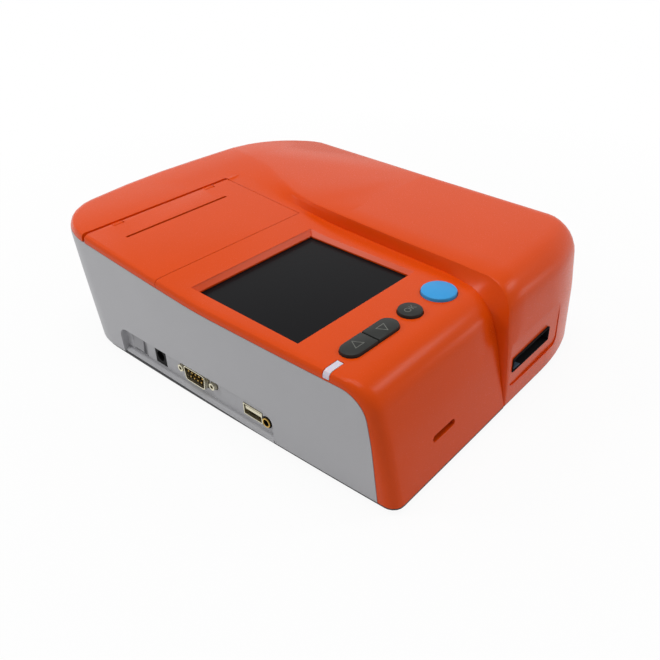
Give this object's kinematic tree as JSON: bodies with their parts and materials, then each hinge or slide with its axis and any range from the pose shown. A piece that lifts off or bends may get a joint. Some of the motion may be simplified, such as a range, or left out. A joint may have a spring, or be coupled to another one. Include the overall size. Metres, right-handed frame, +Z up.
{
  "type": "progesterone analyzer",
  "caption": "Benchtop immunoassay analyzer in a two-level moulded case, with a screen, four keys, a hinged printer door, a motor-driven cartridge tray and side connectors.",
  "frame": {"origin": "centre of the bounding box in plan, on the plane the feet stand on", "axes": "+X to the user's right seen from the front, +Y from the front to the rear, +Z up"},
  "size_m": [0.18, 0.245, 0.0747],
  "materials": {
    "top_cover": "satin moulded ABS, orange",
    "housing": "satin moulded ABS, light grey",
    "base_plate": "black powder coat",
    "case_screw_front_left": "bright ground steel",
    "case_screw_front_right": "bright ground steel",
    "case_screw_rear_left": "bright ground steel",
    "case_screw_rear_right": "bright ground steel",
    "foot_front_left": "matt black rubber",
    "foot_front_right": "matt black rubber",
    "foot_rear_left": "matt black rubber",
    "foot_rear_right": "matt black rubber",
    "door_hinge_pin": "bright ground steel",
    "display_lens": "dark tinted screen glass",
    "display_module": "dark display cell in its frame",
    "keypad_board": "green coated circuit laminate",
    "light_pipe": "frosted clear acrylic",
    "chip_socket": "moulded black plastic",
    "printer_frame": "moulded black plastic",
    "printer_motor": "bright ground steel",
    "print_head": "bright ground steel",
    "main_board": "green coated circuit laminate",
    "serial_port": "nickel-plated pressed steel",
    "serial_pins": "moulded black plastic",
    "jackscrew_front": "nickel-plated pressed steel",
    "jackscrew_rear": "nickel-plated pressed steel",
    "usb_port": "nickel-plated pressed steel",
    "round_jack": "moulded black plastic",
    "power_jack": "moulded black plastic",
    "power_switch": "moulded black plastic",
    "reader_frame": "milled, satin",
    "guide_rod_left": "bright ground steel",
    "guide_rod_right": "bright ground steel",
    "tray_motor": "moulded black plastic",
    "optics_head": "moulded black plastic",
    "printer_door": "satin moulded ABS, orange",
    "platen_roller": "matt black rubber",
    "platen_gear": "natural moulded nylon",
    "motor_gear": "natural moulded nylon",
    "motor_shaft": "bright ground steel",
    "up_button": "dark grey moulded key",
    "down_button": "dark grey moulded key",
    "ok_button": "dark grey moulded key",
    "start_button": "sky blue moulded key",
    "power_rocker": "moulded black plastic",
    "cartridge_tray": "slate moulded plastic",
    "lead_screw": "bright ground steel"
  },
  "bodies": {
    "case": {"top_cover": "top_cover", "housing": "housing", "base_plate": "base_plate", "case_screw_front_left": "case_screw_front_left", "case_screw_front_right": "case_screw_front_right", "case_screw_rear_left": "case_screw_rear_left", "case_screw_rear_right": "case_screw_rear_right", "foot_front_left": "foot_front_left", "foot_front_right": "foot_front_right", "foot_rear_left": "foot_rear_left", "foot_rear_right": "foot_rear_right", "door_hinge_pin": "door_hinge_pin", "display_lens": "display_lens", "display_module": "display_module", "keypad_board": "keypad_board", "light_pipe": "light_pipe", "chip_socket": "chip_socket", "printer_frame": "printer_frame", "printer_motor": "printer_motor", "print_head": "print_head", "main_board": "main_board", "serial_port": "serial_port", "serial_pins": "serial_pins", "jackscrew_front": "jackscrew_front", "jackscrew_rear": "jackscrew_rear", "usb_port": "usb_port", "round_jack": "round_jack", "power_jack": "power_jack", "power_switch": "power_switch", "reader_frame": "reader_frame", "guide_rod_left": "guide_rod_left", "guide_rod_right": "guide_rod_right", "tray_motor": "tray_motor", "optics_head": "optics_head"},
    "door": {"printer_door": "printer_door"},
    "platen": {"platen_roller": "platen_roller", "platen_gear": "platen_gear"},
    "pinion": {"motor_gear": "motor_gear", "motor_shaft": "motor_shaft"},
    "up_key": {"up_button": "up_button"},
    "down_key": {"down_button": "down_button"},
    "ok_key": {"ok_button": "ok_button"},
    "start_key": {"start_button": "start_button"},
    "rocker": {"power_rocker": "power_rocker"},
    "tray": {"cartridge_tray": "cartridge_tray"},
    "screw": {"lead_screw": "lead_screw"}
  },
  "joints": [
    {"name": "door_hinge", "type": "hinge", "parent": "case", "child": "door", "pos_m": [-0.0407, 0.0804, 0.06916], "axis": [-1, 0, 0], "range_deg": [0, 80]},
    {"name": "platen_spin", "type": "hinge", "parent": "case", "child": "platen", "pos_m": [-0.0407, 0.05985, 0.05819], "axis": [1, 0, 0], "continuous": true},
    {"name": "pinion_spin", "type": "hinge", "parent": "case", "child": "pinion", "pos_m": [-0.0067, 0.06445, 0.04819], "axis": [1, 0, 0], "continuous": true},
    {"name": "up_press", "type": "slide", "parent": "case", "child": "up_key", "axis": [0, 0.0184, -0.9998], "range_m": [0, 0.0008], "stiffness_N_per_m": 400},
    {"name": "down_press", "type": "slide", "parent": "case", "child": "down_key", "axis": [0, 0.0184, -0.9998], "range_m": [0, 0.0008], "stiffness_N_per_m": 400},
    {"name": "ok_press", "type": "slide", "parent": "case", "child": "ok_key", "axis": [0, 0.0184, -0.9998], "range_m": [0, 0.0008], "stiffness_N_per_m": 400},
    {"name": "start_press", "type": "slide", "parent": "case", "child": "start_key", "axis": [0, 0.0184, -0.9998], "range_m": [0, 0.0008], "stiffness_N_per_m": 400},
    {"name": "rocker_tilt", "type": "hinge", "parent": "case", "child": "rocker", "pos_m": [-0.08214, 0.055, 0.01205], "axis": [0, 1, 0], "range_deg": [-16, 0]},
    {"name": "tray_slide", "type": "slide", "parent": "case", "child": "tray", "axis": [0, -1, 0], "range_m": [0, 0.048]},
    {"name": "screw_spin", "type": "hinge", "parent": "case", "child": "screw", "pos_m": [0.0506, -0.1, 0.0235], "axis": [0, 1, 0], "range_deg": [0, 5762]}
  ],
  "couplings": [
    {"joint": "pinion_spin", "follows": "platen_spin", "ratio": -2.1429},
    {"joint": "screw_spin", "follows": "tray_slide", "rad_per_m": 2094.4}
  ]
}
